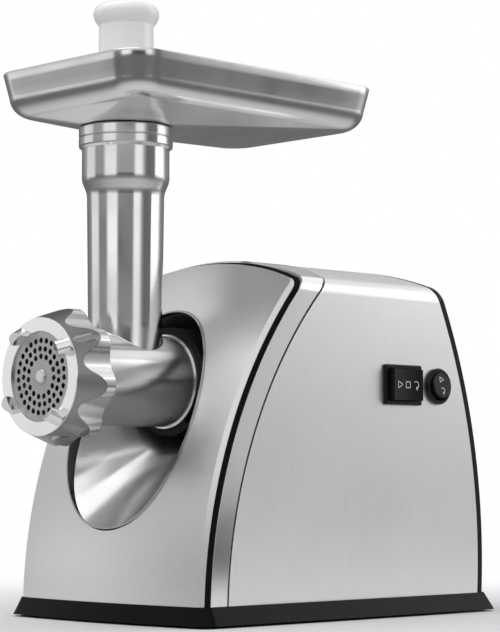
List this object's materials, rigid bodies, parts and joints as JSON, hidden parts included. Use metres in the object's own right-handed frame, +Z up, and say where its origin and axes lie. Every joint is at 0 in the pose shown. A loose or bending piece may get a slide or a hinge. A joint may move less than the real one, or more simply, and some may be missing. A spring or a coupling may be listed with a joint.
{
  "type": "electric meat grinder",
  "caption": "Countertop electric meat grinder with a steel body, oval recess, die-cast grinding head, loading tray, pusher, geared motor and two side switches.",
  "frame": {"origin": "on the floor, under the middle of the whole machine's box", "axes": "+X towards the switch side, -Y towards the meat outlet, +Z up"},
  "size_m": [0.1664, 0.291, 0.3426],
  "materials": {
    "brushed_steel": "fine straight grain, satin",
    "polished_steel": "mirror polished",
    "polished_aluminium": "polished with faint turning marks",
    "cast_aluminium": "satin die casting",
    "machined_steel": "machined, satin",
    "black_gloss": "moulded, gloss",
    "black_satin": "moulded, fine satin texture",
    "rubber": "matt",
    "white_plastic": "translucent, soft gloss",
    "nylon": "natural nylon",
    "laminations": "stacked steel sheet",
    "copper": "enamelled copper",
    "carbon": "pressed carbon"
  },
  "bodies": {
    "housing": {"base_skirt": "black_gloss", "bottom_plate": "black_satin", "rubber_feet": "rubber", "base_screws": "machined_steel", "chassis": "black_satin", "front_panel": "brushed_steel", "recess_cup": "polished_steel", "panel_gasket": "rubber", "chrome_band": "polished_steel", "steel_wrap": "brushed_steel", "rear_cover": "black_satin", "cord_gland": "rubber", "head_socket": "black_satin", "rocker_bezel": "black_gloss", "round_bezel": "black_gloss", "motor_stator": "laminations", "field_coils": "copper", "front_bracket": "cast_aluminium", "rear_bracket": "cast_aluminium", "motor_bearings": "machined_steel", "motor_bolts": "machined_steel", "carbon_brushes": "carbon", "brush_holders": "copper", "motor_cradle": "rubber", "capacitor": "black_satin", "gearbox_housing": "cast_aluminium", "gearbox_cover": "cast_aluminium", "output_bearing": "machined_steel"},
    "rotor": {"motor_shaft": "machined_steel", "motor_rotor": "laminations", "commutator": "copper", "cooling_fan": "nylon"},
    "first_shaft": {"first_gear": "nylon", "first_gear_shaft": "machined_steel"},
    "second_shaft": {"second_gear": "machined_steel", "second_gear_shaft": "machined_steel"},
    "output_drive": {"output_gear": "machined_steel", "output_shaft": "machined_steel", "auger": "cast_aluminium", "thrust_washer": "nylon", "knife": "machined_steel"},
    "head": {"head_casting": "polished_aluminium", "locating_pin": "machined_steel", "perforated_plate": "machined_steel"},
    "ring_nut": {"ring_nut": "cast_aluminium"},
    "tray": {"tray": "polished_aluminium"},
    "pusher": {"pusher": "white_plastic"},
    "main_switch": {"rocker_paddle": "black_gloss"},
    "reverse_switch": {"round_paddle": "black_gloss"}
  },
  "joints": [
    {"name": "rotor_spin", "type": "hinge", "parent": "housing", "child": "rotor", "pos_m": [0, 0.04205, 0.066], "axis": [0, 1, 0], "continuous": true},
    {"name": "first_shaft_spin", "type": "hinge", "parent": "housing", "child": "first_shaft", "pos_m": [0.03072, 0.00205, 0.04723], "axis": [0, 1, 0], "continuous": true},
    {"name": "second_shaft_spin", "type": "hinge", "parent": "housing", "child": "second_shaft", "pos_m": [0.03, 0.00205, 0.08785], "axis": [0, 1, 0], "continuous": true},
    {"name": "auger_spin", "type": "hinge", "parent": "housing", "child": "output_drive", "pos_m": [0, -0.05795, 0.132], "axis": [0, 1, 0], "continuous": true},
    {"name": "head_turn", "type": "hinge", "parent": "housing", "child": "head", "pos_m": [0, -0.04295, 0.132], "axis": [0, 1, 0], "range_deg": [0, 40]},
    {"name": "ring_nut_turn", "type": "hinge", "parent": "head", "child": "ring_nut", "pos_m": [0, -0.12795, 0.132], "axis": [0, 1, 0], "range_deg": [-540, 0]},
    {"name": "tray_lift", "type": "slide", "parent": "head", "child": "tray", "axis": [0, 0, 1], "range_m": [0, 0.04]},
    {"name": "pusher_slide", "type": "slide", "parent": "head", "child": "pusher", "axis": [0, 0, 1], "range_m": [0, 0.155]},
    {"name": "main_switch_rock", "type": "hinge", "parent": "housing", "child": "main_switch", "pos_m": [0.075, 0.06415, 0.1311], "axis": [0, 0, 1], "range_deg": [-8, 8]},
    {"name": "reverse_switch_rock", "type": "hinge", "parent": "housing", "child": "reverse_switch", "pos_m": [0.075, 0.09475, 0.1311], "axis": [0, 1, 0], "range_deg": [0, 14]}
  ],
  "couplings": [
    {"joint": "first_shaft_spin", "follows": "rotor_spin", "ratio": -0.2},
    {"joint": "second_shaft_spin", "follows": "rotor_spin", "ratio": 0.05},
    {"joint": "auger_spin", "follows": "rotor_spin", "ratio": -0.013542}
  ]
}
